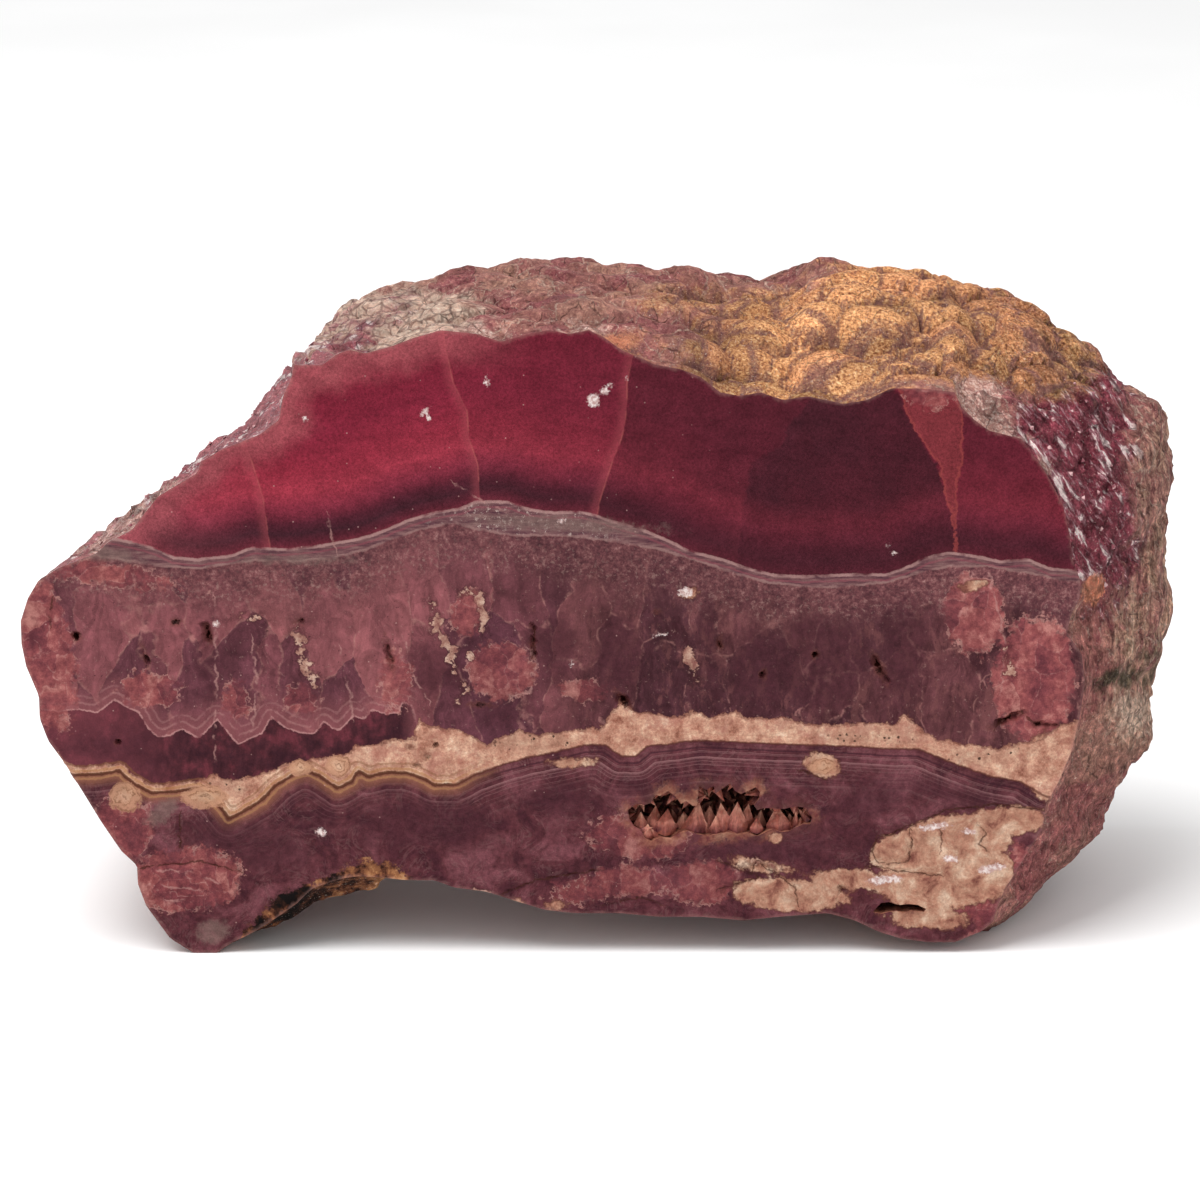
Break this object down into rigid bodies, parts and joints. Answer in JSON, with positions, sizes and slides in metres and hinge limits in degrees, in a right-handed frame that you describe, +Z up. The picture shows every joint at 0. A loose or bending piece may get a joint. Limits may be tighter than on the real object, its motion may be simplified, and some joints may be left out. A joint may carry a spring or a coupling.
{
  "type": "rhodochrosite slice",
  "caption": "Thick sawn slice of banded rhodochrosite: crimson layer, wavy cream band, scaly golden rind and a small crystal-lined hollow, standing on its natural arched underside.",
  "frame": {"origin": "centre of the bounding box's base, on the surface that the stone stands on", "axes": "+X to the right along the cut face, +Y back from the cut face to the sawn back, +Z up"},
  "size_m": [0.1501, 0.052, 0.085],
  "materials": {
    "banded_stone": "polished cut face, rough natural rind, matte sawn back",
    "hollow_crystals": "small translucent pointed crystals"
  },
  "bodies": {
    "root": {"slice": "banded_stone", "vug_crystals": "hollow_crystals"}
  },
  "joints": []
}
